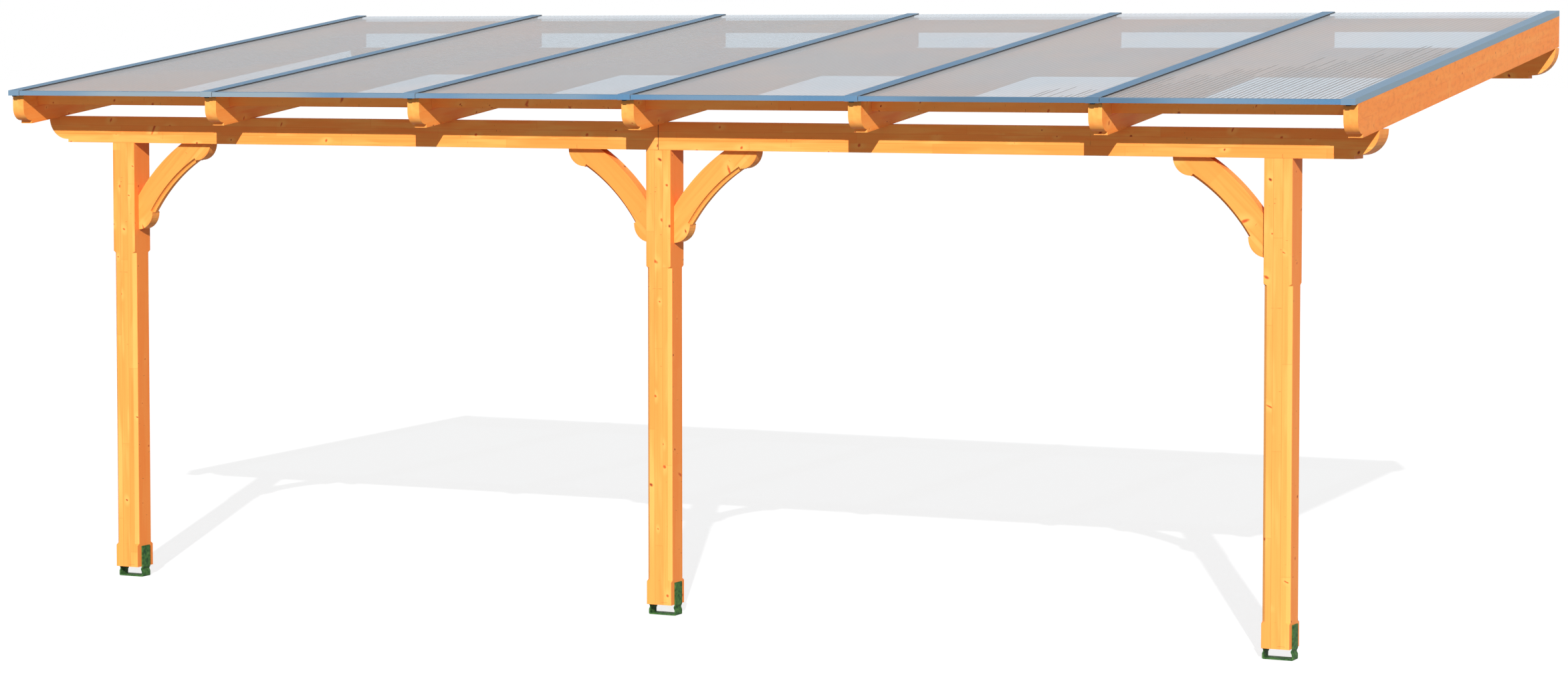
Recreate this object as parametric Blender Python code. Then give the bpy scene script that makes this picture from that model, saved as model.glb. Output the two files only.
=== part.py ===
"""Attached patio cover: three posts, a front beam, seven rafters on a wall ledger, and a multiwall roof.

Units are metres and Z is up. The wall is the plane Y = 0 and the cover stands in front of it,
towards -Y. The origin is the middle of the ledger's back face. Run it with
blender --background --python part.py, or from the text editor.
"""
import math

import bmesh
import bpy
from mathutils import Matrix, Vector

# Timber sections
RAFTER_WIDTH = 0.060
RAFTER_DEPTH = 0.140
LEDGER_DEPTH = 0.060
LEDGER_HEIGHT = 0.140
BEAM_SIZE = 0.120
POST_SIZE = 0.120
BRACE_THICKNESS = 0.057

# Plan of the roof
RAFTER_COUNT = 7
RAFTER_PITCH = 1.070
RAFTER_RUN = 2.945
ROOF_SLOPE = math.radians(7.0)
BEAM_SETBACK = 0.277
SEAT_DEPTH = 0.003

# Shaped timber ends: a quarter round above a small step
RAFTER_ROUND = 0.056
BEAM_ROUND = 0.100
LEDGER_ROUND = 0.118
END_STEP = 0.014
END_LEDGE = 0.006
ROUND_STEPS = 10

# Posts
POST_LENGTH = 1.982
POST_SPACING = 2.820
POST_CHAMFER = 0.015
POST_HEAD = 0.504
POST_FOOT = 0.100
STOP_RISE = 0.009

# Knee braces
BRACE_LEG = 0.403
BRACE_LOBE = 0.077
BRACE_BAND = 0.108
BRACE_CURVE = 0.750
BRACE_COVE = 0.0135
BRACE_FRONT_SHOULDER = 0.007
BRACE_REAR_SHOULDER = 0.001
BRACE_STOP = 0.004
BRACE_STEPS = 14
COVE_STEPS = 6

# Steel U straps under the posts
STRAP_WIDTH = 0.060
STRAP_THICKNESS = 0.006
STRAP_TOP_SETBACK = 0.003
STRAP_DROP = 0.048
STRAP_CRIMP = 0.005
STRAP_CRIMP_HEIGHT = 0.026
STRAP_STEPS = 6

# Boards that close the gaps between the rafters
BLOCKING_HEIGHT = 0.062
BLOCKING_THICKNESS = 0.028
BLOCKING_SETBACK = 0.105

# Roof covering
PANEL_THICKNESS = 0.016
PANEL_SIDE_CLEARANCE = 0.003
PANEL_SKIN = 0.0012
PANEL_RIB = 0.0010
CHANNEL_PITCH = 0.025
EAVES_OVERHANG = 0.035
BAR_WIDTH = 0.060
BAR_WEB = 0.012
BAR_BASE = 0.003
BAR_TOP = 0.0048
BAR_END_CAP = 0.002
TRIM_WALL = 0.0015
TRIM_LIP = 0.020
TRIM_END_GAP = 0.003

# Clearance that touching pieces keep
GAP = 0.0003

# Values that follow from the sizes above
RISE = math.tan(ROOF_SLOPE)
HALF_WIDTH = (RAFTER_COUNT - 1) * RAFTER_PITCH / 2 + RAFTER_WIDTH / 2
LEDGER_TOP = LEDGER_HEIGHT / 2
HEAD_Y = -RAFTER_RUN
BEAM_FRONT = HEAD_Y + BEAM_SETBACK
POST_Y = BEAM_FRONT + POST_SIZE / 2
EAVES_Y = HEAD_Y - EAVES_OVERHANG
PANEL_HEIGHT = PANEL_THICKNESS / math.cos(ROOF_SLOPE)
BAR_SLOT = PANEL_HEIGHT + 2 * GAP


def rafter_underside(y):
    """Height of the rafters' straight lower edge at the distance y from the wall."""
    return LEDGER_TOP - SEAT_DEPTH + (y + LEDGER_DEPTH) * RISE


def rafter_top(y):
    return rafter_underside(y) + RAFTER_DEPTH / math.cos(ROOF_SLOPE)


BEAM_TOP = rafter_underside(BEAM_FRONT) + SEAT_DEPTH
BEAM_BOTTOM = BEAM_TOP - BEAM_SIZE
RAFTER_PLACES = [(n - (RAFTER_COUNT - 1) / 2) * RAFTER_PITCH for n in range(RAFTER_COUNT)]
BAY_PLACES = [x + RAFTER_PITCH / 2 for x in RAFTER_PLACES[:-1]]
POST_PLACES = {"left": -POST_SPACING, "middle": 0.0, "right": POST_SPACING}

FINISHES = {
    "spruce": ((0.78, 0.42, 0.13), 0.45, 0.0),
    "blue_aluminium": ((0.20, 0.38, 0.58), 0.35, 0.6),
    "multiwall_sheet": ((0.66, 0.72, 0.76), 0.25, 0.0),
    "green_steel": ((0.07, 0.17, 0.06), 0.55, 0.4),
}


def clear_scene():
    for old in list(bpy.data.objects):
        bpy.data.objects.remove(old, do_unlink=True)


def new_collection(name):
    collection = bpy.data.collections.new(name)
    bpy.context.scene.collection.children.link(collection)
    return collection


def new_material(name, colour, roughness, metallic):
    material = bpy.data.materials.new(name)
    material.use_nodes = True
    shader = material.node_tree.nodes["Principled BSDF"]
    shader.inputs["Base Color"].default_value = (*colour, 1.0)
    shader.inputs["Roughness"].default_value = roughness
    shader.inputs["Metallic"].default_value = metallic
    return material


def arc(centre, radius, start, end, steps):
    """Points on a circle from the angle start to the angle end, in degrees, both included."""
    angles = [math.radians(start + (end - start) * n / steps) for n in range(steps + 1)]
    return [(centre[0] + radius * math.cos(a), centre[1] + radius * math.sin(a)) for a in angles]


def weld(mesh):
    """Join the loose caps of a filled outline and turn every face outwards."""
    bm = bmesh.new()
    bm.from_mesh(mesh)
    bmesh.ops.remove_doubles(bm, verts=bm.verts, dist=0.00001)
    bmesh.ops.recalc_face_normals(bm, faces=bm.faces)
    bm.to_mesh(mesh)
    bm.free()


def extruded(name, outline, length, axis, holes=()):
    """Mesh of a flat outline drawn in the plane across axis and extruded along it, centred on 0."""
    curve = bpy.data.curves.new(name, "CURVE")
    curve.dimensions = "2D"
    curve.fill_mode = "BOTH"
    curve.extrude = length / 2
    for loop in (outline, *holes):
        spline = curve.splines.new("POLY")
        spline.points.add(len(loop) - 1)
        for point, (across, up) in zip(spline.points, loop):
            point.co = (across, up, 0.0, 1.0)
        spline.use_cyclic_u = True
    holder = bpy.data.objects.new(name, curve)
    bpy.context.scene.collection.objects.link(holder)
    evaluated = holder.evaluated_get(bpy.context.evaluated_depsgraph_get())
    mesh = bpy.data.meshes.new_from_object(evaluated)
    bpy.data.objects.remove(holder, do_unlink=True)
    if axis == "X":
        mesh.transform(Matrix(((0, 0, 1, 0), (1, 0, 0, 0), (0, 1, 0, 0), (0, 0, 0, 1))))
    else:
        mesh.transform(Matrix(((1, 0, 0, 0), (0, 0, -1, 0), (0, 1, 0, 0), (0, 0, 0, 1))))
    weld(mesh)
    return mesh


def box_mesh(name, *boxes):
    """Mesh of one or more boxes, each given by its lowest and highest corner."""
    bm = bmesh.new()
    for low, high in boxes:
        low, high = Vector(low), Vector(high)
        size = Matrix.Diagonal((*(high - low), 1.0))
        bmesh.ops.create_cube(bm, size=1.0, matrix=Matrix.Translation((low + high) / 2) @ size)
    mesh = bpy.data.meshes.new(name)
    bm.to_mesh(mesh)
    bm.free()
    return mesh


def cut(mesh, cutter_mesh, cutters):
    """Mesh of the first shape less the second one, which stays in the file as a wire cutter."""
    blank = bpy.data.objects.new(mesh.name, mesh)
    cutter = bpy.data.objects.new(cutter_mesh.name, cutter_mesh)
    bpy.context.scene.collection.objects.link(blank)
    cutters.objects.link(cutter)
    cutter.hide_render = True
    cutter.display_type = "WIRE"
    boolean = blank.modifiers.new("cut", "BOOLEAN")
    boolean.operation = "DIFFERENCE"
    boolean.solver = "EXACT"
    boolean.object = cutter
    evaluated = blank.evaluated_get(bpy.context.evaluated_depsgraph_get())
    result = bpy.data.meshes.new_from_object(evaluated)
    result.name = mesh.name
    bpy.data.objects.remove(blank, do_unlink=True)
    return result


def pitched(mesh):
    """Raise a level mesh to the roof's slope, so that its ends stay plumb."""
    mesh.transform(Matrix(((1, 0, 0, 0), (0, 1, 0, 0), (0, RISE, 1, 0), (0, 0, 0, 1))))
    return mesh


def place(name, mesh, location, material, collection):
    piece = bpy.data.objects.new(name, mesh)
    piece.location = location
    if not mesh.materials:
        mesh.materials.append(material)
    collection.objects.link(piece)
    return piece


def end_profile(tip, step_up, radius, side):
    """Quarter round that ends a timber at tip, from its stepped lower edge up to its plumb end."""
    turn = arc((tip - radius, step_up + END_STEP + radius), radius, -90, 0, ROUND_STEPS)
    points = [(tip - radius - END_LEDGE, step_up), (tip - radius - END_LEDGE, step_up + END_STEP)]
    return [(side * x, z) for x, z in points + turn]


def seat_cut(support_y, support_top):
    """Level notch in the rafter's lower edge over the front edge of what carries it."""
    heel = support_y - GAP
    seat = support_top + GAP
    toe = support_y + (SEAT_DEPTH + GAP) / RISE
    return [(heel, rafter_underside(heel)), (heel, seat), (toe, seat)]


def rafter_outline():
    step_y = HEAD_Y + RAFTER_ROUND + END_LEDGE
    soffit = rafter_underside(step_y) + END_STEP
    nose = arc((HEAD_Y + RAFTER_ROUND, soffit + RAFTER_ROUND), RAFTER_ROUND, 180, 270, ROUND_STEPS)
    lower = seat_cut(BEAM_FRONT, BEAM_TOP) + seat_cut(-LEDGER_DEPTH, LEDGER_TOP)
    head = [(HEAD_Y, rafter_top(HEAD_Y))] + nose + [(step_y, soffit), (step_y, rafter_underside(step_y))]
    return head + lower + [(0.0, rafter_underside(0.0)), (0.0, rafter_top(0.0))]


def build_rafters(timber, collection):
    mesh = extruded("rafter", rafter_outline(), RAFTER_WIDTH, "X")
    for n, x in enumerate(RAFTER_PLACES, start=1):
        place(f"rafter_{n}", mesh, (x, 0.0, 0.0), timber, collection)


def build_ledger(timber, collection):
    right = end_profile(HALF_WIDTH, -LEDGER_TOP, LEDGER_ROUND, 1) + [(HALF_WIDTH, LEDGER_TOP)]
    left = end_profile(HALF_WIDTH, -LEDGER_TOP, LEDGER_ROUND, -1) + [(-HALF_WIDTH, LEDGER_TOP)]
    mesh = extruded("ledger", right + left[::-1], LEDGER_DEPTH, "Y")
    place("wall_ledger", mesh, (0.0, -LEDGER_DEPTH / 2, 0.0), timber, collection)


def build_front_beams(timber, collection):
    """Two lengths that butt over the middle post, each with a shaped outer end."""
    for name, side in (("left", -1), ("right", 1)):
        shaped = end_profile(HALF_WIDTH, 0.0, BEAM_ROUND, side)
        outline = [(side * GAP / 2, 0.0)] + shaped
        outline += [(side * HALF_WIDTH, BEAM_SIZE), (side * GAP / 2, BEAM_SIZE)]
        mesh = extruded(f"front_beam_{name}", outline, BEAM_SIZE, "Y")
        spot = (0.0, BEAM_FRONT + BEAM_SIZE / 2, BEAM_BOTTOM)
        place(f"front_beam_{name}", mesh, spot, timber, collection)


def corner_cutter_mesh():
    """Four wedges along the post's corners, with sloping ends that leave stopped chamfers."""
    inner = -POST_CHAMFER / math.sqrt(2)
    outer = POST_CHAMFER
    rise = STOP_RISE * (outer - inner) / -inner
    low, high = -POST_LENGTH + POST_FOOT, -POST_HEAD
    outline = [(inner, low + STOP_RISE), (outer, low + STOP_RISE - rise)]
    outline += [(outer, high - STOP_RISE + rise), (inner, high - STOP_RISE)]
    wedge = extruded("post_corner", outline, 4 * POST_CHAMFER, "Y")
    bm = bmesh.new()
    for quarter in range(4):
        copy = wedge.copy()
        angle = math.radians(45 + 90 * quarter)
        corner = Vector((math.cos(angle), math.sin(angle), 0.0)) * POST_SIZE / math.sqrt(2)
        copy.transform(Matrix.Translation(corner) @ Matrix.Rotation(angle, 4, "Z"))
        bm.from_mesh(copy)
        bpy.data.meshes.remove(copy)
    mesh = bpy.data.meshes.new("post_corner_cutter")
    bm.to_mesh(mesh)
    bm.free()
    return mesh


def build_posts(timber, collection, cutters):
    half = POST_SIZE / 2
    blank = box_mesh("post", ((-half, -half, -POST_LENGTH), (half, half, -GAP)))
    mesh = cut(blank, corner_cutter_mesh(), cutters)
    for name, x in POST_PLACES.items():
        place(f"post_{name}", mesh, (x, POST_Y, BEAM_BOTTOM), timber, collection)


def strap_outline():
    """Bent flat bar: outside both faces of the post, crimped in below it, and flat on the ground."""
    foot = -POST_LENGTH - GAP
    ground = -POST_LENGTH - STRAP_DROP
    face = POST_SIZE / 2 + GAP
    levels = [(0.0, POST_FOOT - STRAP_TOP_SETBACK - POST_LENGTH)]
    for n in range(STRAP_STEPS + 1):
        part = n / STRAP_STEPS
        inset = STRAP_CRIMP * (1 - math.cos(2 * math.pi * part)) / 2
        levels.append((inset, foot - STRAP_CRIMP_HEIGHT * part))
    bend = (face, ground + STRAP_THICKNESS)
    outer = [(face + STRAP_THICKNESS - inset, z) for inset, z in levels]
    outer += arc(bend, STRAP_THICKNESS, 0, -90, STRAP_STEPS)
    inner = [(face - inset, z) for inset, z in levels] + [bend]
    outside = outer + [(-x, z) for x, z in outer[::-1]]
    inside = [(-x, z) for x, z in inner] + inner[::-1]
    return outside + inside


def build_anchors(steel, collection):
    mesh = extruded("post_anchor", strap_outline(), STRAP_WIDTH, "Y")
    for name, x in POST_PLACES.items():
        place(f"post_anchor_{name}", mesh, (x, POST_Y, BEAM_BOTTOM), steel, collection)


def brace_arc_centre():
    """Centre of the brace's two long curves, on the diagonal that leaves the corner."""
    end = (BRACE_LEG - BRACE_LOBE, -BRACE_LOBE)
    half_chord = (end[0] + end[1]) / math.sqrt(2)
    nearest = (end[0] - end[1]) / math.sqrt(2)
    away = (nearest + math.sqrt(BRACE_CURVE ** 2 - half_chord ** 2)) / math.sqrt(2)
    return (away, -away)


def brace_outline():
    """Brace seen from the front: x runs along the beam from the post, z hangs from the beam."""
    centre = brace_arc_centre()
    tip = BRACE_LEG - BRACE_LOBE
    reach = math.degrees(math.atan2(-BRACE_LOBE - centre[1], tip - centre[0]))
    back = BRACE_CURVE + BRACE_BAND
    meets = centre[0] - math.sqrt(back ** 2 - (centre[1] + GAP) ** 2)
    spread = math.degrees(math.atan2(-GAP - centre[1], meets - centre[0]))
    upper = arc((tip, -GAP), BRACE_LOBE - GAP, 0, -90, ROUND_STEPS)
    inner = arc(centre, BRACE_CURVE, reach, 270 - reach, BRACE_STEPS)
    lower = arc((GAP, -tip), BRACE_LOBE - GAP, 0, -90, ROUND_STEPS)
    outer = arc(centre, back, 270 - spread, spread, BRACE_STEPS)
    return upper + inner[1:-1] + lower + outer


def brace_cove_mesh():
    """Two arched bars that hollow the brace's concave edges and stop square, short of its lobes."""
    centre = brace_arc_centre()
    tip = BRACE_LEG - BRACE_LOBE
    reach = math.degrees(math.atan2(-BRACE_LOBE - centre[1], tip - centre[0]))
    stop = math.degrees(BRACE_STOP / BRACE_CURVE)
    start, end = math.radians(reach + stop), math.radians(270 - reach - stop)
    bm = bmesh.new()
    for side, shoulder in ((-1, BRACE_FRONT_SHOULDER), (1, BRACE_REAR_SHOULDER)):
        hollow = arc((BRACE_CURVE, shoulder), BRACE_COVE, 0, 90, COVE_STEPS)
        floor = (BRACE_CURVE - BRACE_COVE, shoulder + BRACE_COVE)
        outside = [floor, (BRACE_CURVE - BRACE_COVE, -BRACE_COVE), (BRACE_CURVE + BRACE_COVE, -BRACE_COVE)]
        profile = [(r, side * (BRACE_THICKNESS / 2 - depth)) for r, depth in hollow + outside]
        ring = [bm.verts.new((r * math.cos(start), y, r * math.sin(start))) for r, y in profile]
        loop = [bm.edges.new((ring[n - 1], ring[n])) for n in range(len(ring))]
        bmesh.ops.spin(bm, geom=ring + loop, axis=(0, -1, 0), cent=(0, 0, 0), angle=end - start,
                       steps=BRACE_STEPS, use_duplicate=False)
    bmesh.ops.holes_fill(bm, edges=[edge for edge in bm.edges if edge.is_boundary])
    bmesh.ops.recalc_face_normals(bm, faces=bm.faces)
    bmesh.ops.translate(bm, verts=bm.verts, vec=(centre[0], 0.0, centre[1]))
    mesh = bpy.data.meshes.new("brace_cove_cutter")
    bm.to_mesh(mesh)
    bm.free()
    return mesh


def build_braces(timber, collection, cutters):
    right = cut(extruded("brace", brace_outline(), BRACE_THICKNESS, "Y"), brace_cove_mesh(), cutters)
    left = right.copy()
    left.transform(Matrix.Diagonal((-1.0, 1.0, 1.0, 1.0)))
    left.flip_normals()
    half = POST_SIZE / 2
    spots = (("brace_left", right, POST_PLACES["left"] + half),
             ("brace_middle_left", left, POST_PLACES["middle"] - half),
             ("brace_middle_right", right, POST_PLACES["middle"] + half),
             ("brace_right", left, POST_PLACES["right"] - half))
    for name, mesh, x in spots:
        place(name, mesh, (x, POST_Y, BEAM_BOTTOM), timber, collection)


def build_blocking(timber, collection):
    """Short boards under the sheets, one row near the eaves and one near the wall."""
    half = (RAFTER_PITCH - RAFTER_WIDTH) / 2 - GAP
    box = ((-half, 0.0, -BLOCKING_HEIGHT), (half, BLOCKING_THICKNESS, 0.0))
    mesh = box_mesh("blocking", box)
    rows = (("front", HEAD_Y + BLOCKING_SETBACK), ("rear", -BLOCKING_SETBACK))
    for row, y in rows:
        for n, x in enumerate(BAY_PLACES, start=1):
            spot = (x, y, rafter_top(y) + BAR_BASE)
            place(f"{row}_blocking_{n}", mesh, spot, timber, collection)


def bar_mesh(name, slot_sides, cutters):
    """Glazing bar with a closed front end and a slot for the sheet on each of slot_sides."""
    half = BAR_WIDTH / 2
    height = BAR_BASE + BAR_SLOT + BAR_TOP
    blank = box_mesh(name, ((-half, EAVES_Y, GAP), (half, 0.0, height)))
    boxes = []
    for side in slot_sides:
        edges = sorted((side * BAR_WEB / 2, side * (half + BAR_BASE)))
        boxes.append(((edges[0], EAVES_Y + BAR_END_CAP, BAR_BASE),
                      (edges[1], BAR_BASE, BAR_BASE + BAR_SLOT)))
    return pitched(cut(blank, box_mesh(f"{name}_slot_cutter", *boxes), cutters))


def build_cover_strips(metal, collection, cutters):
    inner = bar_mesh("cover_strip", (-1, 1), cutters)
    first = bar_mesh("cover_strip_first", (1,), cutters)
    last = bar_mesh("cover_strip_last", (-1,), cutters)
    meshes = [first] + [inner] * (RAFTER_COUNT - 2) + [last]
    for n, (x, mesh) in enumerate(zip(RAFTER_PLACES, meshes), start=1):
        place(f"cover_strip_{n}", mesh, (x, 0.0, rafter_top(0.0)), metal, collection)


def rectangle(left, right, low, high):
    return [(left, low), (right, low), (right, high), (left, high)]


def build_panels(sheet, collection):
    """Multiwall sheets: two skins joined by upright ribs, with open channels that run down the slope."""
    half = (RAFTER_PITCH - BAR_WEB) / 2 - PANEL_SIDE_CLEARANCE
    low = BAR_BASE + GAP
    high = low + PANEL_HEIGHT
    count = round(2 * half / CHANNEL_PITCH)
    pitch = (2 * half - PANEL_RIB) / count
    channels = []
    for n in range(count):
        left = -half + PANEL_RIB + n * pitch
        channels.append(rectangle(left, left + pitch - PANEL_RIB, low + PANEL_SKIN, high - PANEL_SKIN))
    front = EAVES_Y + BAR_END_CAP + GAP
    mesh = extruded("roof_panel", rectangle(-half, half, low, high), -front, "Y", channels)
    mesh.transform(Matrix.Translation((0.0, front / 2, 0.0)))
    pitched(mesh)
    for n, x in enumerate(BAY_PLACES, start=1):
        place(f"roof_panel_{n}", mesh, (x, 0.0, rafter_top(0.0)), sheet, collection)


def build_eaves_trims(metal, collection):
    """Channel that closes each sheet's lower edge between two bars."""
    low = BAR_BASE
    high = BAR_BASE + BAR_SLOT
    wall = EAVES_Y + TRIM_WALL
    lip = EAVES_Y + TRIM_LIP
    outline = [(EAVES_Y, low - TRIM_WALL), (lip, low - TRIM_WALL), (lip, low), (wall, low),
               (wall, high), (lip, high), (lip, high + TRIM_WALL), (EAVES_Y, high + TRIM_WALL)]
    length = RAFTER_PITCH - BAR_WIDTH - TRIM_END_GAP - GAP
    mesh = pitched(extruded("eaves_trim", outline, length, "X"))
    shift = (TRIM_END_GAP - GAP) / 2
    for n, x in enumerate(BAY_PLACES, start=1):
        place(f"eaves_trim_{n}", mesh, (x + shift, 0.0, rafter_top(0.0)), metal, collection)


def main():
    clear_scene()
    collection = new_collection("attached_patio_cover")
    cutters = new_collection("cutters")
    materials = {name: new_material(name, *values) for name, values in FINISHES.items()}
    timber = materials["spruce"]
    metal = materials["blue_aluminium"]
    build_ledger(timber, collection)
    build_rafters(timber, collection)
    build_front_beams(timber, collection)
    build_posts(timber, collection, cutters)
    build_anchors(materials["green_steel"], collection)
    build_braces(timber, collection, cutters)
    build_blocking(timber, collection)
    build_cover_strips(metal, collection, cutters)
    build_panels(materials["multiwall_sheet"], collection)
    build_eaves_trims(metal, collection)


main()
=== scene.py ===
import math

import bpy
import numpy as np
from mathutils import Euler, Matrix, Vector


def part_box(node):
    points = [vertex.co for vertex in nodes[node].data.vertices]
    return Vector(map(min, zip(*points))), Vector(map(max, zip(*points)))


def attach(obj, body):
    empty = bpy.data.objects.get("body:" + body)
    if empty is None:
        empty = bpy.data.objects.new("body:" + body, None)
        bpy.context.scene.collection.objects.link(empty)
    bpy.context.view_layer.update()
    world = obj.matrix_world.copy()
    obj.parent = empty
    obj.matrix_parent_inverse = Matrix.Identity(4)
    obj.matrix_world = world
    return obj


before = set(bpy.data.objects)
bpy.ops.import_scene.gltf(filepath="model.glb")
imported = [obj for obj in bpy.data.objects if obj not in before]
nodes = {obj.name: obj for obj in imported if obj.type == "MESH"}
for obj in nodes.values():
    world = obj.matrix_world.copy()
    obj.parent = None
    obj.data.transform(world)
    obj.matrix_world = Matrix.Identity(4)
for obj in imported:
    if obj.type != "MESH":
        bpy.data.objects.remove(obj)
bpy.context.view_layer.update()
scene = bpy.context.scene
roofSlope = math.radians(7.0)
roofRise = math.tan(roofSlope)
print("frame loaded:", len(nodes), "nodes")


# Shader values that plain arithmetic works on

class Field:

    def __init__(self, tree, socket):
        self.tree = tree
        self.socket = socket

    def math(self, operation, *others):
        inputs = dict(enumerate((self, *others)))
        node = addNode(self.tree, "ShaderNodeMath", inputs, operation=operation)
        return Field(self.tree, node.outputs[0])

    def __add__(self, other):
        return self.math("ADD", other)

    def __sub__(self, other):
        return self.math("SUBTRACT", other)

    def __mul__(self, other):
        return self.math("MULTIPLY", other)

    def __truediv__(self, other):
        return self.math("DIVIDE", other)

    def flipped(self):                          # 1 - value
        return self.math("MULTIPLY", -1.0).math("ADD", 1.0)

    def unsigned(self):
        return self.math("ABSOLUTE")

    def atLeast(self, other):
        return self.math("MAXIMUM", other)

    def atMost(self, other):
        return self.math("MINIMUM", other)

    def floor(self):
        return self.math("FLOOR")

    def fraction(self):
        return self.math("FRACT")

    def root(self):
        return self.math("SQRT")

    def eased(self, low, high):                 # 0 at low, 1 at high, smooth between
        node = addNode(self.tree, "ShaderNodeMapRange",
                       {"Value": self, "From Min": low, "From Max": high},
                       interpolation_type="SMOOTHSTEP", clamp=True)
        return Field(self.tree, node.outputs["Result"])

    def within(self, rise, fall):               # 1 from the rise to the fall, smooth at both
        return self.eased(*rise) * self.eased(*fall).flipped()

    def between(self, low, high):               # 0..1 spread to low..high
        return self * (high - low) + low


# Short forms for the shader nodes that every material uses

def addNode(tree, kind, inputs=None, **settings):
    node = tree.nodes.new(kind)
    for key, value in settings.items():
        setattr(node, key, value)
    for socket, value in (inputs or {}).items():
        if isinstance(value, Field):
            value = value.socket
        if isinstance(value, bpy.types.NodeSocket):
            tree.links.new(value, node.inputs[socket])
        else:
            node.inputs[socket].default_value = value
    return node


def newMaterial(name):
    material = bpy.data.materials.new(name)
    material.use_nodes = True
    material.node_tree.nodes.clear()
    return material, material.node_tree


def finishMaterial(material, shader):
    tree = material.node_tree
    output = addNode(tree, "ShaderNodeOutputMaterial")
    tree.links.new(shader.outputs[0], output.inputs["Surface"])
    return material


def objectPlace(tree):
    return addNode(tree, "ShaderNodeTexCoord").outputs["Object"]


def split(tree, vector):
    node = addNode(tree, "ShaderNodeSeparateXYZ", {"Vector": vector})
    return [Field(tree, socket) for socket in node.outputs]


def joined(tree, x=0.0, y=0.0, z=0.0):
    return addNode(tree, "ShaderNodeCombineXYZ", {"X": x, "Y": y, "Z": z}).outputs[0]


def faceNormal(tree):
    return split(tree, addNode(tree, "ShaderNodeNewGeometry").outputs["True Normal"])


def noise(tree, vector, scale, detail=2.0, roughness=0.5):
    if not isinstance(scale, tuple):
        scale = (scale,) * 3
    stretched = addNode(tree, "ShaderNodeMapping", {"Vector": vector, "Scale": scale})
    node = addNode(tree, "ShaderNodeTexNoise",
                   {"Vector": stretched.outputs[0], "Scale": 1.0, "Detail": detail,
                    "Roughness": roughness})
    return Field(tree, node.outputs["Fac"])


def dice(tree, x, y, z=0.0):                    # three random values for a cell
    node = addNode(tree, "ShaderNodeTexWhiteNoise", {"Vector": joined(tree, x, y, z)},
                   noise_dimensions="3D")
    colour = addNode(tree, "ShaderNodeSeparateColor", {"Color": node.outputs["Color"]})
    return [Field(tree, socket) for socket in colour.outputs]


def opaque(value):                              # a plain colour gets its fourth value
    return (*value, 1.0) if isinstance(value, tuple) else value


def blended(tree, share, first, second):
    node = addNode(tree, "ShaderNodeMix", {0: share, 6: opaque(first), 7: opaque(second)},
                   data_type="RGBA")
    return node.outputs[2]


def mixedShader(tree, share, first, second):
    return addNode(tree, "ShaderNodeMixShader",
                   {0: share, 1: first.outputs[0], 2: second.outputs[0]})


def bumped(tree, height, strength, distance):
    node = addNode(tree, "ShaderNodeBump",
                   {"Height": height, "Strength": strength, "Distance": distance})
    return node.outputs[0]


def surface(tree, look, colour, grain, normal):
    # the plain surface of most materials: a fine grain spreads the roughness over the look's range
    return addNode(tree, "ShaderNodeBsdfPrincipled",
                   {"Base Color": opaque(colour), "Roughness": grain.between(*look["roughness"]),
                    "Metallic": look["metallic"], "Specular IOR Level": look["specular"],
                    "Normal": normal})


# Timber: every glued layer is a slice of a log of its own. The rings are the distance from the log's
# pith, and the knots are branches that run out from the pith in whorls, so round knots, spike knots,
# flat grain and end grain all follow from where a face cuts the log.
# In every look below, a value called noise holds a pattern's scale, detail and roughness, one called
# fade or window holds where a mask starts and where it is full, and a share says how much of a colour
# is laid on.

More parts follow.
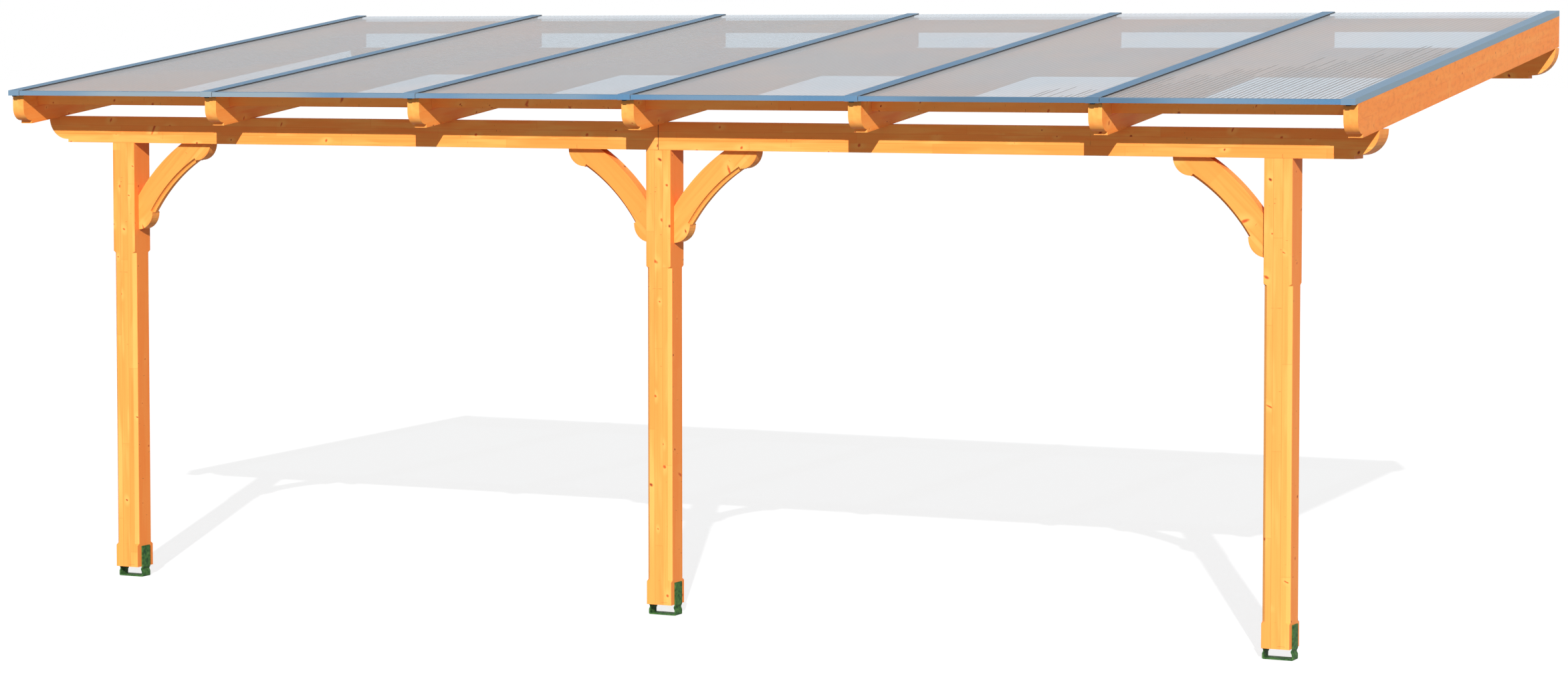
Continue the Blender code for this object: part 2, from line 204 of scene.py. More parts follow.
timberLook = {
    "light": (0.980, 0.378, 0.078),             # early wood under the honey glaze
    "late": (0.900, 0.235, 0.038),              # late wood
    "streak": (0.955, 0.258, 0.044),            # broad warmer streaks along the fibres
    "bright": (0.990, 0.470, 0.115),            # pale clouds, the pale wood beside the knots, and the painted highlight on the posts' chamfers
    "knotRim": (0.700, 0.150, 0.026),
    "knotHeart": (0.560, 0.075, 0.018),
    "deadHeart": (0.200, 0.045, 0.018),         # the dark core of a loose knot
    "tick": (0.330, 0.095, 0.024),              # short dark marks across the fibres
    "seam": (0.860, 0.200, 0.034),              # glue line between layers
    "butt": (0.085, 0.026, 0.010),              # dark joint where the beam's halves meet
    "blotch": (0.720, 0.190, 0.036),            # weathered patches on the outer rafter
    "headCutAndHighlight": (0.990, 0.520, 0.125),           # pale end grain of the rafters' heads, laid paler still as a painted highlight of their sunlit fronts

    # the log: its pith lies beside the layer and wanders along the length
    "pithAway": (0.018, 0.085),
    "pithSpread": 0.11,
    "wanderNoise": ((1.3, 0.4, 0.4), 1.0),
    "wanderAcross": 0.030,
    "wanderDeep": 0.018,
    "waverNoise": ((3.1, 9.0, 9.0), 2.0),
    "waver": 0.006,
    "boardRun": 0.86,                           # distance between finger joints
    "layerShift": 0.41,                         # how far each layer's joints stand from the last
    "pieceShift": 0.37,                         # and each timber's from the next, both in boards

    # year rings
    "ring": 0.0034,                             # width of one year's growth
    "ringPower": 2.4,                           # above 1 keeps the late wood narrow
    "ringFadeNoise": ((0.9, 22.0, 22.0), 1.0),
    "ringShare": (0.15, 0.75),
    "ringBulge": 0.0042,                        # how far a knot pushes the rings aside

    # branches and their knots
    "whorl": 0.190,                             # distance between branch whorls along the log
    "whorlTwist": 0.37,                         # how far each whorl is turned, in branches
    "treeTwist": 3.0,
    "branches": 6.0,                            # branches round the log in one whorl
    "branchShare": 0.62,                        # share of them that left a knot
    "branchLean": 0.45,                         # rise of a branch for its way out of the log
    "branchPlace": (0.30, 0.70),
    "knotRadius": (0.0026, 0.0070),
    "knotRagged": 0.5,
    "raggedNoise": (260.0, 1.0),
    "heartFade": (0.35, 1.00),                  # this fade and the next three count in knot radii
    "rimFade": (0.85, 1.45),
    "swirlFade": (0.6, 4.5),
    "haloFade": (0.8, 3.2),
    "haloDrawn": 0.42,                          # below 1 draws the halo out along the fibres
    "deadWindow": (0.62, 0.85),

    # streaks, clouds, fibres and ticks
    "streakNoise": ((1.15, 58.0, 58.0), 3.0, 0.55),
    "streakWindow": (0.44, 0.68),
    "cloudNoise": ((2.6, 26.0, 26.0), 2.0),
    "cloudWindow": (0.47, 0.68),
    "fibreNoise": ((9.0, 520.0, 520.0), 3.0, 0.6),
    "fibreWindow": (0.50, 0.78),
    "tickNoise": ((210.0, 40.0, 40.0), 0.0),
    "tickWindow": (0.822, 0.862),
    "blotchNoise": ((26.0, 70.0, 44.0), 3.0, 0.65),
    "blotchWindow": (0.46, 0.68),

    # glue lines, measured in layers and boards from their middle
    "seamWindow": (0.462, 0.490),
    "fingerWindow": (0.4972, 0.4990),
    "fingerShare": 0.45,
    "brokenNoise": ((7.0, 0.5, 0.5), 2.0),      # thin timbers show their glue line in stretches
    "brokenWindow": (0.42, 0.60),
    "buttWindow": (0.0010, 0.0024),

    # which faces are planed chamfers and rafter heads, by their normals; the chamfers get a painted
    # highlight, and the heads pale end grain that is partly a painted highlight
    "chamferWindow": (0.5, 0.6),
    "headWindow": (-0.70, -0.50),

    # how much of each colour is laid on
    "streakShare": (0.25, 0.80),
    "cloudShare": 0.75,
    "redShare": 0.50,
    "haloShare": 0.65,
    "chamferHighlightShare": 0.60,
    "blotchShare": 0.40,
    "headPaleAndHighlightShare": 0.24,
    "fibreShare": 0.20,
    "seamShare": 0.60,
    "rimShare": 0.75,
    "heartShare": 0.80,
    "deadShare": 0.85,
    "tickShare": 0.65,
    "buttShare": 0.85,

    "fibreHeight": 0.6,
    "ringHeight": 0.4,
    "bump": (0.16, 0.0006),                     # strength and distance in every look
    "roughness": (0.48, 0.65),
    "specular": 0.22,
    "metallic": 0.0,
}

# For each kind of timber, by the start of its name: which way the fibres lie, the number and thickness
# of its glued layers, and what sets it apart. Paleness adds bright wood, warmth a deeper glaze, and a
# higher tick limit leaves fewer ticks.
timberPieces = {
    "rafter": {"lay": "alongRoof", "layers": (2, 0.070), "tickLimit": 0.0, "warmth": 0.18},
    "rafter_7": {"lay": "alongRoof", "layers": (2, 0.070), "tickLimit": -0.018, "warmth": 0.55,
                 "blotched": True},             # the right one stands in the open
    "wall_ledger": {"lay": "alongWall", "layers": (1, 0.140)},
    "front_beam": {"lay": "alongWall", "layers": (3, 0.040)},
    "front_blocking": {"lay": "alongWall", "layers": (1, 0.062), "warmth": 0.50},
    "rear_blocking": {"lay": "alongWall", "layers": (1, 0.062)},
    "post_left": {"lay": "upright", "layers": (3, 0.040), "paleness": 0.08},
    "post_middle": {"lay": "upright", "layers": (3, 0.040), "paleness": 0.14},
    "post_right": {"lay": "upright", "layers": (3, 0.040), "paleness": 0.26},
    "brace_left": {"lay": "risingRight", "layers": (1, 0.430)},
    "brace_middle_right": {"lay": "risingRight", "layers": (1, 0.430)},
    "brace_middle_left": {"lay": "risingLeft", "layers": (1, 0.430)},
    "brace_right": {"lay": "risingLeft", "layers": (1, 0.430)},
}
plainTimber = {"tickLimit": 0.020, "warmth": 0.0, "paleness": 0.0, "blotched": False}

# the turns that lay the fibres along the pattern's X axis, with the layers along its Z axis
quarterTurn = math.pi / 2
levelled = Euler((-roofSlope, 0.0, 0.0)).to_matrix()
swungToX = Euler((0.0, 0.0, -quarterTurn)).to_matrix()
fibreTurns = {
    "alongWall": Euler((0.0, 0.0, 0.0)),
    "alongRoof": (swungToX @ levelled).to_euler(),
    "upright": Euler((0.0, quarterTurn, 0.0)),
    "risingRight": Euler((0.0, quarterTurn / 2, 0.0)),
    "risingLeft": Euler((0.0, -quarterTurn / 2, 0.0)),
}


def placeInLog(tree, local, layers, seed):
    # which layer and board a point belongs to, and where it lay in the log that the board was cut
    # from; the odd factors on the seed and the numbers beside it only keep the random draws apart
    look = timberLook
    count, thick = layers
    along, across, up = split(tree, local)
    stack = up / thick + count / 2              # layers counted from the lowest face
    layer = stack.floor()
    run = along / look["boardRun"] + layer * look["layerShift"] + seed * look["pieceShift"]
    board = run.floor()
    pithSide, pithDepth, tone = dice(tree, layer + seed * 3.1, board, seed)
    phase, tilt, redness = dice(tree, layer + seed * 1.7, board + 11.0, seed + 5.0)

    wander = noise(tree, local, *look["wanderNoise"]) - 0.5
    waver = noise(tree, local, *look["waverNoise"]) - 0.5
    sideways = (across - (pithSide - 0.5) * look["pithSpread"]
                + wander * look["wanderAcross"] + waver * look["waver"])
    depth = (up - (layer + (0.5 - count / 2)) * thick
             + pithDepth.between(*look["pithAway"]) + wander * look["wanderDeep"])
    return {"along": along, "stack": stack, "layer": layer, "run": run, "board": board,
            "tone": tone, "phase": phase, "tilt": tilt, "redness": redness,
            "sideways": sideways, "depth": depth,
            "radius": (sideways * sideways + depth * depth).root()}


def knotMasks(tree, local, log, seed):
    # cells round and along the log with one branch in each, which leans up the stem as it grows out;
    # a mask falls with the distance from the branch's middle line, counted in the knot's radius
    look = timberLook
    radius = log["radius"]
    whorls = (log["along"] - radius * look["branchLean"] + log["phase"] * look["whorl"]) / look["whorl"]
    whorl = whorls.floor()
    perTurn = look["branches"] / (2 * math.pi)
    sectors = (log["depth"].math("ARCTAN2", log["sideways"]) * perTurn
               + log["tilt"] * look["treeTwist"] + whorl * look["whorlTwist"])
    chance, slide, swell = dice(tree, whorl + seed * 7.0, sectors.floor(),
                                log["layer"] * 5.0 + log["board"])
    kept = chance.math("LESS_THAN", look["branchShare"])
    knotX = (whorls.fraction() - slide.between(*look["branchPlace"])) * look["whorl"]
    knotY = (sectors.fraction() - 0.5) * radius * (1 / perTurn)

    ragged = noise(tree, local, *look["raggedNoise"]) - 0.5
    small, large = look["knotRadius"]
    ratio = ((knotX * knotX + knotY * knotY).root() / (swell * swell * (large - small) + small)
             + ragged * look["knotRagged"])
    haloX = knotX * look["haloDrawn"]
    haloRatio = (haloX * haloX + knotY * knotY).root() / (swell * (large - small) + small)

    def mask(value, fade):
        return value.eased(*look[fade]).flipped() * kept

    heart = mask(ratio, "heartFade")
    return {"heart": heart, "dead": heart * slide.eased(*look["deadWindow"]),
            "rim": mask(ratio, "rimFade"), "swirl": mask(ratio, "swirlFade"),
            "halo": mask(haloRatio, "haloFade")}


def glueLines(tree, local, log, layerCount):
    # thick timbers show seams and finger joints, two-layer ones a broken seam, and others none
    look = timberLook
    seam = (log["stack"].fraction() - 0.5).unsigned().eased(*look["seamWindow"])
    if layerCount > 2:
        finger = (log["run"].fraction() - 0.5).unsigned().eased(*look["fingerWindow"])
        return seam.atLeast(finger * look["fingerShare"])
    broken = noise(tree, local, *look["brokenNoise"]).eased(*look["brokenWindow"])
    return seam * broken * (layerCount - 1)


def timberMaterial(name, seed):
    look = timberLook
    stem = max((key for key in timberPieces if name.startswith(key)), key=len)
    piece = plainTimber | timberPieces[stem]
    low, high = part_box(name)
    centre = (low + high) / 2
    turn = fibreTurns[piece["lay"]]
    material, tree = newMaterial("spruce_" + name)
    local = addNode(tree, "ShaderNodeMapping",
                    {"Vector": objectPlace(tree), "Rotation": turn,
                     "Location": -(turn.to_matrix() @ centre)}).outputs[0]
    log = placeInLog(tree, local, piece["layers"], seed)
    knots = knotMasks(tree, local, log, seed)
    lines = glueLines(tree, local, log, piece["layers"][0])

    rings = ((log["radius"] + knots["swirl"] * look["ringBulge"]) / look["ring"]).fraction()
    rings = rings.math("POWER", look["ringPower"])
    ringShare = noise(tree, local, *look["ringFadeNoise"]).between(*look["ringShare"])
    streaks = noise(tree, local, *look["streakNoise"]).eased(*look["streakWindow"])
    clouds = noise(tree, local, *look["cloudNoise"]).eased(*look["cloudWindow"])
    fibres = noise(tree, local, *look["fibreNoise"])
    tickLow, tickHigh = (edge + piece["tickLimit"] for edge in look["tickWindow"])
    tick = noise(tree, local, *look["tickNoise"]).eased(tickLow, tickHigh)

    colour = look["light"]

    def layOn(share, key):
        return blended(tree, share, colour, look[key])

    colour = layOn(rings * ringShare, "late")
    colour = layOn(streaks * log["tone"].between(*look["streakShare"]), "streak")
    colour = layOn(clouds * look["cloudShare"], "bright")
    colour = layOn(log["redness"] * log["redness"] * look["redShare"], "streak")
    colour = layOn((knots["halo"] - knots["rim"]).atLeast(0.0) * look["haloShare"], "bright")
    colour = layOn(piece["paleness"], "bright")
    colour = layOn(piece["warmth"], "streak")
    # painted highlight: the posts' 45° chamfer faces are laid paler than the rest
    if piece["lay"] == "upright":
        normal = faceNormal(tree)
        chamfer = normal[0].unsigned().atMost(normal[1].unsigned()).eased(*look["chamferWindow"])
        colour = layOn(chamfer * look["chamferHighlightShare"], "bright")
    if piece["blotched"]:
        blotches = noise(tree, local, *look["blotchNoise"]).eased(*look["blotchWindow"])
        colour = layOn(blotches * look["blotchShare"], "blotch")
    # the rafters' front faces get pale end grain, partly a painted highlight where they face the sun
    if piece["lay"] == "alongRoof":
        head = faceNormal(tree)[1].eased(*look["headWindow"]).flipped()
        colour = layOn(head * look["headPaleAndHighlightShare"], "headCutAndHighlight")
    colour = layOn(fibres.eased(*look["fibreWindow"]) * look["fibreShare"], "late")
    colour = layOn(lines * look["seamShare"], "seam")
    colour = layOn(knots["rim"] * look["rimShare"], "knotRim")
    colour = layOn(knots["heart"] * look["heartShare"], "knotHeart")
    colour = layOn(knots["dead"] * look["deadShare"], "deadHeart")
    colour = layOn(tick * look["tickShare"], "tick")
    if stem == "front_beam":
        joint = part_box("front_beam_left")[1].x
        butt = (log["along"] + (centre[0] - joint)).unsigned().eased(*look["buttWindow"]).flipped()
        colour = layOn(butt * look["buttShare"], "butt")

    relief = fibres * look["fibreHeight"] + rings * look["ringHeight"] - lines - tick
    return finishMaterial(
        material, surface(tree, look, colour, fibres, bumped(tree, relief, *look["bump"])))


# Blue coated aluminium: a fine speckle over broad, slow changes between clear blue and grey blue.
# Those changes and the tones by place and face are painted reflections, which the plain white stage
# can't give.

metalLook = {
    "clear": (0.086, 0.205, 0.350),
    "grey": (0.215, 0.290, 0.355),
    "speck": (0.270, 0.360, 0.450),
    "topClear": (0.061, 0.166, 0.298),          # the inner strips' tops, which mirror darker tones
    "topGrey": (0.153, 0.235, 0.302),
    "side": (0.290, 0.335, 0.370),              # upright sides, which pick up the sheets' grey
    "outerSide": (0.243, 0.338, 0.413),         # painted reflection on the last strip's side, which stands in the open
    "pale": (0.268, 0.332, 0.370),              # where the trims' fronts mirror bright tones
    "dim": (0.088, 0.158, 0.236),               # and where they mirror dark ones

    # how much painted grey reflection there is: by noise, towards the wall, to the left, and on the
    # last strip
    "greyNoise": ((0.95, 0.75, 0.75), 1.0),
    "greyWindow": (0.40, 0.64),
    "greyShare": 0.55,
    "wallWindow": (-1.4, 0.6),
    "wallShare": 0.70,
    "leftWindow": (-3.4, 0.6),
    "leftShare": 0.45,
    "outerGrey": 0.50,
    "topGreyShare": 0.65,

    # which faces are tops, sides and fronts, by their normals
    "topWindow": (0.7, 0.9),
    "sideWindow": (0.6, 0.8),
    "frontWindow": (-0.8, -0.6),
    "sideShare": 0.70,
    "outerSideShare": 0.90,

    # stretches of the trims, each with where it sets in and where it ends
    "paleStretch": ((-2.95, -2.65), (-1.75, -1.45)),
    "paleShare": 0.90,
    "hazyStretch": ((-0.95, -0.70), (-0.25, -0.05)),
    "hazyShare": 0.42,
    "dimStretch": ((1.15, 1.55), (2.25, 2.60)),
    "dimShare": 0.90,

    "speckNoise": (520.0, 2.0),
    "speckWindow": (0.40, 0.75),
    "speckShare": 0.22,
    "speckHeight": 0.6,
    "drawnNoise": ((420.0, 5.0, 420.0), 2.0),   # fine lines along the strips
    "bump": (0.10, 0.0003),
    "roughness": (0.40, 0.56),
    "specular": 0.08,
    "metallic": 0.10,
}


def metalMaterial():
    look = metalLook
    material, tree = newMaterial("blue_aluminium")
    place = objectPlace(tree)
    x, y = split(tree, place)[:2]
    inner = x.math("LESS_THAN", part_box("cover_strip_7")[0].x)
    outer = inner.flipped()
    grey = noise(tree, place, *look["greyNoise"]).eased(*look["greyWindow"]) * look["greyShare"]
    grey = grey.atLeast(y.eased(*look["wallWindow"]) * look["wallShare"])
    grey = grey.atLeast(x.eased(*look["leftWindow"]).flipped() * look["leftShare"])
    grey = grey.atLeast(outer * look["outerGrey"])
    speckle = noise(tree, place, *look["speckNoise"]).eased(*look["speckWindow"])
    drawn = noise(tree, place, *look["drawnNoise"])

    normal = faceNormal(tree)
    onTop = normal[2].eased(*look["topWindow"])
    onSide = normal[0].eased(*look["sideWindow"])
    onFront = normal[1].eased(*look["frontWindow"]).flipped()
    colour = blended(tree, grey, look["clear"], look["grey"])
    topColour = blended(tree, grey * look["topGreyShare"], look["topClear"], look["topGrey"])
    colour = blended(tree, onTop * inner, colour, topColour)

    def layOn(share, key):
        return blended(tree, share, colour, look[key])

    colour = layOn(speckle * look["speckShare"], "speck")
    colour = layOn(onSide * inner * look["sideShare"], "side")
    colour = layOn(onSide * outer * look["outerSideShare"], "outerSide")
    colour = layOn(onFront * x.within(*look["paleStretch"]) * look["paleShare"], "pale")
    colour = layOn(onFront * x.within(*look["hazyStretch"]) * look["hazyShare"], "pale")
    colour = layOn(onFront * x.within(*look["dimStretch"]) * look["dimShare"], "dim")
    relief = speckle * look["speckHeight"] + drawn
    return finishMaterial(
        material, surface(tree, look, colour, drawn, bumped(tree, relief, *look["bump"])))


# Steel in a mottled green, slightly rough

strapLook = {
    "leaf": (0.050, 0.138, 0.036),
    "dark": (0.018, 0.060, 0.020),
    "pale": (0.095, 0.200, 0.055),
    "blotchNoise": (62.0, 4.0, 0.6),
    "leafWindow": (0.36, 0.54),
    "paleWindow": (0.53, 0.68),
    "paleShare": 0.8,
    "gritNoise": (480.0, 3.0),
    "gritHeight": 0.4,
    "bump": (0.40, 0.0010),
    "roughness": (0.52, 0.72),
    "specular": 0.12,
    "metallic": 0.0,
}


def strapMaterial():
    look = strapLook
    material, tree = newMaterial("green_steel")
    place = objectPlace(tree)
    blotches = noise(tree, place, *look["blotchNoise"])
    grit = noise(tree, place, *look["gritNoise"])
    colour = blended(tree, blotches.eased(*look["leafWindow"]), look["dark"], look["leaf"])
    colour = blended(tree, blotches.eased(*look["paleWindow"]) * look["paleShare"], colour,
                     look["pale"])
    relief = blotches + grit * look["gritHeight"]
    return finishMaterial(
        material, surface(tree, look, colour, grit, bumped(tree, relief, *look["bump"])))


# Multiwall sheet: two clear skins with a milky film, joined by ribs; painted dark lines at the upper
# skin stand in for the light that the ribs bend and block

sheetLook = {
    "topTint": (0.74, 0.86, 0.98),              # what the upper skin lets through
    "lowTint": (0.92, 0.97, 1.00),
    "film": (0.85, 0.88, 0.90),
    # the warm film is a painted reflection
    "warmFilm": (0.96, 0.90, 0.87),
    "warmNoise": ((1.1, 0.9, 1.0), 3.0, 0.6),
    "warmWindow": (0.42, 0.66),
    "topFilm": 0.34,                            # share of the film on the upper skin
    "lowFilm": 0.44,
    "shadow": 0.80,                             # share of straight sunlight that the film scatters
    "glow": 0.4,                                # share of the film's light that passes through it
    "skin": 0.0012,
    "skinReach": 0.0004,                        # how near to the outside a face counts as skin
    "ribWindow": (0.5, 0.8),                    # which faces are ribs, by their normals
    # the painted dark lines along the ribs, which stand in for the light that the ribs bend and block
    "ribLine": (0.070, 0.060, 0.054),
    "ribClear": (0.97, 0.97, 0.97),
    "ribPitch": 0.025,
    "ribWidth": 0.001,
    "ribShare": (0.20, 0.85),                   # how dark the lines are up the roof and at the eaves
    "ribForce": (0.6, 1.0),
    "lineWidth": (0.0012, 0.0036),              # the line's dark middle and where it has faded
    "lineSlant": 1.4,                           # how fast the lines' upper ends climb to the right
    "lineFrom": (2.1, -3.20),                   # a point, as x and y, on the line of those ends
    "lineLimit": -1.70,                         # the ends stay below this y
    "lineThrow": 0.5,                           # how far single ends stray, and groups of them
    "lineGroup": 0.7,
    "groupNoise": ((6.0, 1.0, 1.0), 0.0),
    "lineFade": 0.06,
    "ribDepth": 0.0022,                         # how far down a rib its dark edge reaches
    "edgeWindow": (0.0, 0.45),
    "index": 1.42,
    "mirrorShare": 0.52,                        # share of the mirror image that dust leaves
    "mirrorRoughness": 0.07,
}


def ribLineShade(tree, x, y):
    # painted shade: how dark each rib's line is, and how far the point lies from the middle line of the
    # nearest rib: each line runs from a point of its own down to the eaves, and starts further up
    # towards the right end
    look = sheetLook
    low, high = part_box("roof_panel_1")
    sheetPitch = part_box("roof_panel_2")[0].x - low.x
    ribCount = round((high.x - low.x) / look["ribPitch"])
    pitch = (high.x - low.x - look["ribWidth"]) / ribCount
    fromSide = ((x - low.x) / sheetPitch).fraction() * sheetPitch - look["ribWidth"] / 2
    rib = (fromSide / pitch + 0.5).floor()
    away = (fromSide / pitch - rib).unsigned() * pitch
    throw, force = dice(tree, rib, (x / sheetPitch).floor())[:2]
    throw = throw * look["lineThrow"]
    group = noise(tree, joined(tree, x), *look["groupNoise"]) * look["lineGroup"]
    fromX, fromY = look["lineFrom"]
    start = (x - fromX) * look["lineSlant"] + fromY + throw + group
    start = start.atMost(throw + look["lineLimit"])
    below = ((start - y) / look["lineFade"]).eased(0.0, 1.0)
    return (below * force.between(*look["ribForce"])).between(*look["ribShare"]), away


def sheetMaterial():
    look = sheetLook
    material, tree = newMaterial("multiwall_sheet")
    place = objectPlace(tree)
    x, y, z = split(tree, place)
    low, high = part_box("roof_panel_1")
    top = high.z - roofRise * high.y
    bottom = low.z - roofRise * low.y
    height = z - y * roofRise                   # height above the roof plane through the origin
    onTop = height.math("GREATER_THAN", top - look["skinReach"])
    onLow = height.math("LESS_THAN", bottom + look["skinReach"])
    onRib = faceNormal(tree)[0].unsigned().eased(*look["ribWindow"])

    # the skins: clear plastic with a film that scatters part of the light
    # painted reflection: warm patches in the film stand in for a warm, mottled reflection
    warm = noise(tree, place, *look["warmNoise"]).eased(*look["warmWindow"])
    film = blended(tree, warm, look["film"], look["warmFilm"])
    tint = blended(tree, onTop, look["lowTint"], look["topTint"])
    clear = addNode(tree, "ShaderNodeBsdfTransparent", {"Color": tint})
    milky = addNode(tree, "ShaderNodeBsdfDiffuse", {"Color": film})
    glow = addNode(tree, "ShaderNodeBsdfTranslucent", {"Color": film})
    shadowRay = Field(tree, addNode(tree, "ShaderNodeLightPath").outputs["Is Shadow Ray"])
    share = onTop * look["topFilm"] + onLow * look["lowFilm"]
    share = share.atLeast(shadowRay * onLow * look["shadow"])
    skin = mixedShader(tree, share, clear, mixedShader(tree, look["glow"], milky, glow))

    # painted shade: dark lines on the ribs and on the skin above them stand in for the light that the
    # ribs bend and block
    lineShade, away = ribLineShade(tree, x, y)
    shadeLines = addNode(tree, "ShaderNodeBsdfDiffuse", {"Color": opaque(look["ribLine"])})
    skin = mixedShader(tree, away.eased(*look["lineWidth"]).flipped() * lineShade * onTop, skin, shadeLines)
    edge = ((height - (top - look["skin"])) / look["ribDepth"] + 1.0).eased(*look["edgeWindow"])
    ribClear = addNode(tree, "ShaderNodeBsdfTransparent", {"Color": opaque(look["ribClear"])})
    ribs = mixedShader(tree, edge * lineShade, ribClear, shadeLines)

    # the outside mirrors what is round it, and the channels' inner faces stay clear
    gloss = addNode(tree, "ShaderNodeBsdfGlossy", {"Roughness": look["mirrorRoughness"]})
    mirror = Field(tree, addNode(tree, "ShaderNodeFresnel", {"IOR": look["index"]}).outputs[0])
    outside = mixedShader(tree, mirror * onTop * look["mirrorShare"], skin, gloss)
    inside = addNode(tree, "ShaderNodeBsdfTransparent")
    face = mixedShader(tree, onTop.atLeast(onLow), inside, outside)
    return finishMaterial(material, mixedShader(tree, onRib, face, ribs))


seedCycle = 17                                  # the timbers' seeds repeat after this many nodes


def giveFinishes():
    metal = metalMaterial()
    shared = {"roof_panel": sheetMaterial(), "post_anchor": strapMaterial(),
              "cover_strip": metal, "eaves_trim": metal}
    for number, name in enumerate(sorted(nodes)):
        known = [finish for stem, finish in shared.items() if name.startswith(stem)]
        finish = known[0] if known else timberMaterial(name, float(number % seedCycle))
        nodes[name].data.materials.clear()
        nodes[name].data.materials.append(finish)
    print("finishes given to", len(nodes), "nodes")


giveFinishes()


# Soft black seal beads along the cover strips' edges that lie beside a sheet, and a short black block
# under each strip's end, over each rafter head

beadAndBlockLook = {
    "colour": (0.008, 0.008, 0.009),
    "width": 0.0026,
    "height": 0.0030,
    "steps": 8,                                 # facets round the bead
    "frontGap": 0.022,                          # from the sheet's end to the bead's
    "wallGap": 0.001,
    "endWidth": 0.018,
    "endHeight": 0.0042,
    "endDepth": 0.012,
    "endInset": 0.001,
    "grainNoise": (640.0, 2.0),
    "bump": (0.15, 0.0003),
    "roughness": (0.6, 0.8),
    "specular": 0.12,
    "metallic": 0.0,
}


def blackBeadsAndBlocksMaterial():
    look = beadAndBlockLook
    material, tree = newMaterial("black_beads_and_end_blocks")
    grain = noise(tree, objectPlace(tree), *look["grainNoise"])
    return finishMaterial(
        material, surface(tree, look, look["colour"], grain, bumped(tree, grain, *look["bump"])))


def sweptBars(name, profile, starts, ends, material):
    # one closed bar for each start and end: the profile (points across and up) is set at both ends,
    # the sides join like points, and a fan of triangles round the first point closes each end
    profile = np.asarray(profile, float)
    starts, ends = np.asarray(starts, float), np.asarray(ends, float)
    count = len(profile)
    rails = np.stack([starts, ends], axis=1)[:, :, None, :].repeat(count, axis=2)
    rails[..., 0] += profile[:, 0]
    rails[..., 2] += profile[:, 1]
    here = np.arange(count)
    after = np.roll(here, -1)
    sides = np.stack([here, after, after + count, here + count], axis=1)
    fan = np.stack([np.zeros(count - 2, int), here[1:-1], here[2:]], axis=1)
    faces = []
    for bar in range(len(starts)):
        base = bar * 2 * count
        faces += (sides + base).tolist()
        faces += (fan[:, ::-1] + base).tolist() + (fan + base + count).tolist()
    mesh = bpy.data.meshes.new(name)
    mesh.from_pydata(rails.reshape(-1, 3).tolist(), [], faces)
    mesh.materials.append(material)
    mesh.update()
    piece = bpy.data.objects.new(name, mesh)
    scene.collection.objects.link(piece)
    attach(piece, "root")


def makeBeadsAndBlocks():
    look = beadAndBlockLook
    blackFinish = blackBeadsAndBlocksMaterial()
    strips = [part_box(name) for name in sorted(nodes) if name.startswith("cover_strip")]
    panelLow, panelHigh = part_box("roof_panel_1")
    rest = panelHigh.z - roofRise * panelHigh.y + look["height"] / 2
    turn = np.linspace(0.0, 2 * math.pi, look["steps"], endpoint=False)
    bead = np.stack([np.cos(turn) * look["width"] / 2, np.sin(turn) * look["height"] / 2], axis=1)
    front, back = panelLow.y + look["frontGap"], -look["wallGap"]
    starts, ends = [], []
    for number, (low, high) in enumerate(strips):
        left = [low.x - look["width"] / 2] if number > 0 else []
        right = [high.x + look["width"] / 2] if number < len(strips) - 1 else []
        for x in left + right:                  # the outermost edges have no sheet beside them
            starts.append((x, front, rest + roofRise * front))
            ends.append((x, back, rest + roofRise * back))
    sweptBars("sheet_seals", bead, starts, ends, blackFinish)

    # a short black block under each strip's end, over the rafter head
    half, tall, deep = look["endWidth"] / 2, look["endHeight"], look["endDepth"]
    block = [(-half, -tall), (half, -tall), (half, 0.0), (-half, 0.0)]
    starts, ends = [], []
    for low, high in strips:
        x, y, z = (low.x + high.x) / 2, low.y + look["endInset"], low.z
        starts.append((x, y, z))
        ends.append((x, y + deep, z + roofRise * deep))
    sweptBars("end_blocks", block, starts, ends, blackFinish)
    print("seals made")


makeBeadsAndBlocks()


# Floor, light and camera

stageLook = {
    "floorSize": 400.0,
    "floorGlow": 0.78,                          # how bright the floor looks by itself
    "floorColour": (0.27, 0.27, 0.27),
    "background": (1.0, 1.0, 1.0),
    "ambient": 0.42,
    "sunStrength": 4.3,
    "sunTravel": (-0.466, 1.0, -0.54),          # the way the light goes, fitted to the shadows
    "sunAngle": 0.5,
    "camera": (7.9628, -17.5494, 0.0812),
    "yaw": 26.3012,
    "pitch": 3.1229,
    "lens": 89.419,
    "sensor": 36.0,
    "shift": -0.05,
    "clip": (0.1, 1000.0),
    "clearBounces": 24,                         # a ray may cross several skins and ribs of a sheet
}


def seenAsWhite(tree):                          # 1 for what the camera, gloss or glass sees
    path = addNode(tree, "ShaderNodeLightPath")
    seen = Field(tree, path.outputs["Is Camera Ray"]).atLeast(path.outputs["Is Glossy Ray"])
    return seen.atLeast(path.outputs["Is Transmission Ray"])


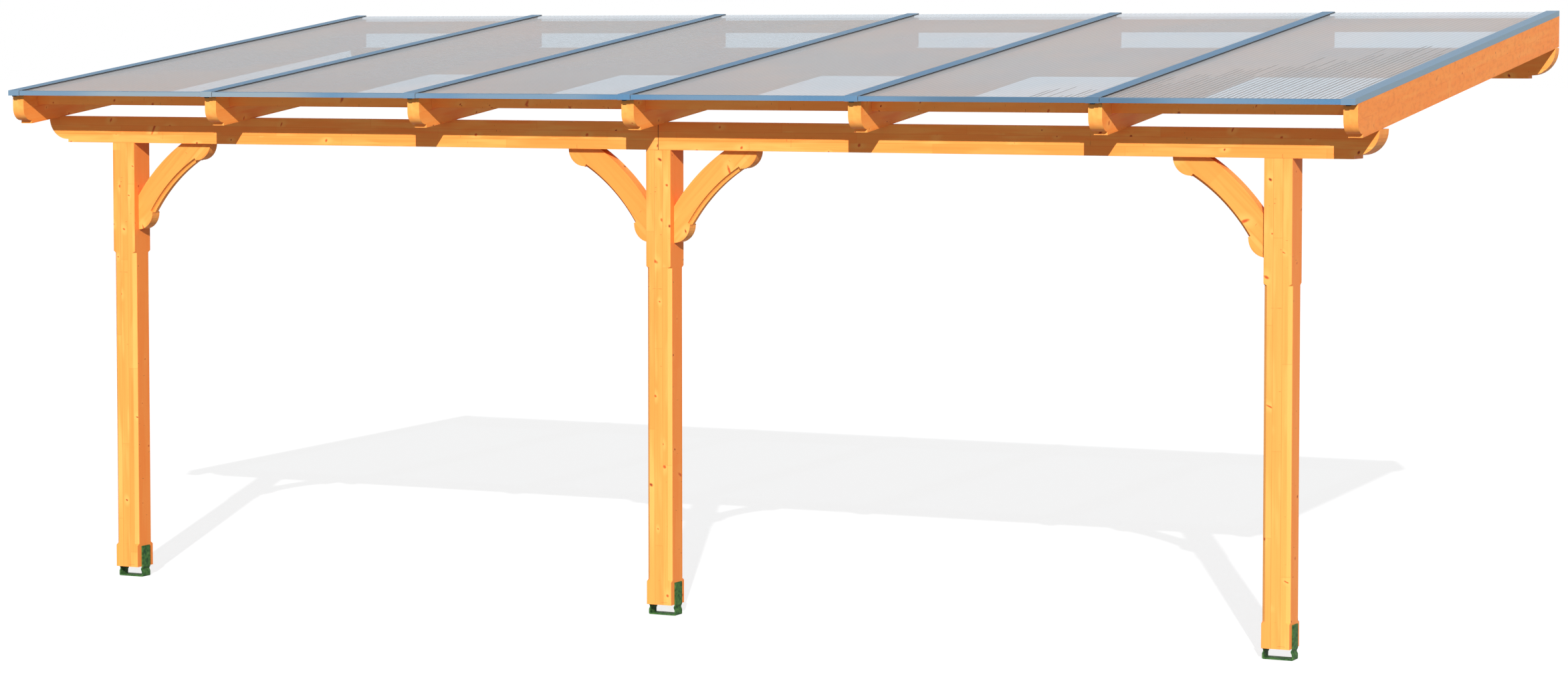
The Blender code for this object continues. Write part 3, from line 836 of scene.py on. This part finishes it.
def makeFloor():
    look = stageLook
    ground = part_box("post_anchor_middle")[0].z
    half = look["floorSize"] / 2
    corners = [(-half, -half, ground), (half, -half, ground),
               (half, half, ground), (-half, half, ground)]
    mesh = bpy.data.meshes.new("floor")
    mesh.from_pydata(corners, [], [(0, 1, 2, 3)])
    floor = bpy.data.objects.new("floor", mesh)
    scene.collection.objects.link(floor)
    material, tree = newMaterial("pale_floor")
    glow = addNode(tree, "ShaderNodeEmission", {"Strength": seenAsWhite(tree) * look["floorGlow"]})
    pale = addNode(tree, "ShaderNodeBsdfDiffuse", {"Color": opaque(look["floorColour"])})
    both = addNode(tree, "ShaderNodeAddShader", {0: glow.outputs[0], 1: pale.outputs[0]})
    mesh.materials.append(finishMaterial(material, both))


def makeWorld():
    look = stageLook
    world = bpy.data.worlds.new("studio")
    scene.world = world
    world.use_nodes = True
    tree = world.node_tree
    tree.nodes.clear()
    strength = seenAsWhite(tree).between(look["ambient"], 1.0)
    light = addNode(tree, "ShaderNodeBackground",
                    {"Color": opaque(look["background"]), "Strength": strength})
    output = addNode(tree, "ShaderNodeOutputWorld")
    tree.links.new(light.outputs[0], output.inputs["Surface"])


def makeSun():
    look = stageLook
    lamp = bpy.data.lights.new("sun", "SUN")
    lamp.energy = look["sunStrength"]
    lamp.angle = math.radians(look["sunAngle"])
    sun = bpy.data.objects.new("sun", lamp)
    sun.rotation_euler = Vector(look["sunTravel"]).to_track_quat("-Z", "Y").to_euler()
    scene.collection.objects.link(sun)


def makeCamera():
    look = stageLook
    data = bpy.data.cameras.new("camera")
    data.lens = look["lens"]
    data.sensor_width = look["sensor"]
    data.shift_y = look["shift"]
    data.clip_start, data.clip_end = look["clip"]
    camera = bpy.data.objects.new("camera", data)
    camera.location = look["camera"]
    camera.rotation_euler = (math.radians(90.0 - look["pitch"]), 0.0, math.radians(look["yaw"]))
    scene.collection.objects.link(camera)
    scene.camera = camera


makeFloor()
makeWorld()
makeSun()
makeCamera()
scene.view_settings.view_transform = "Standard"
scene.cycles.transparent_max_bounces = stageLook["clearBounces"]
print("stage ready")
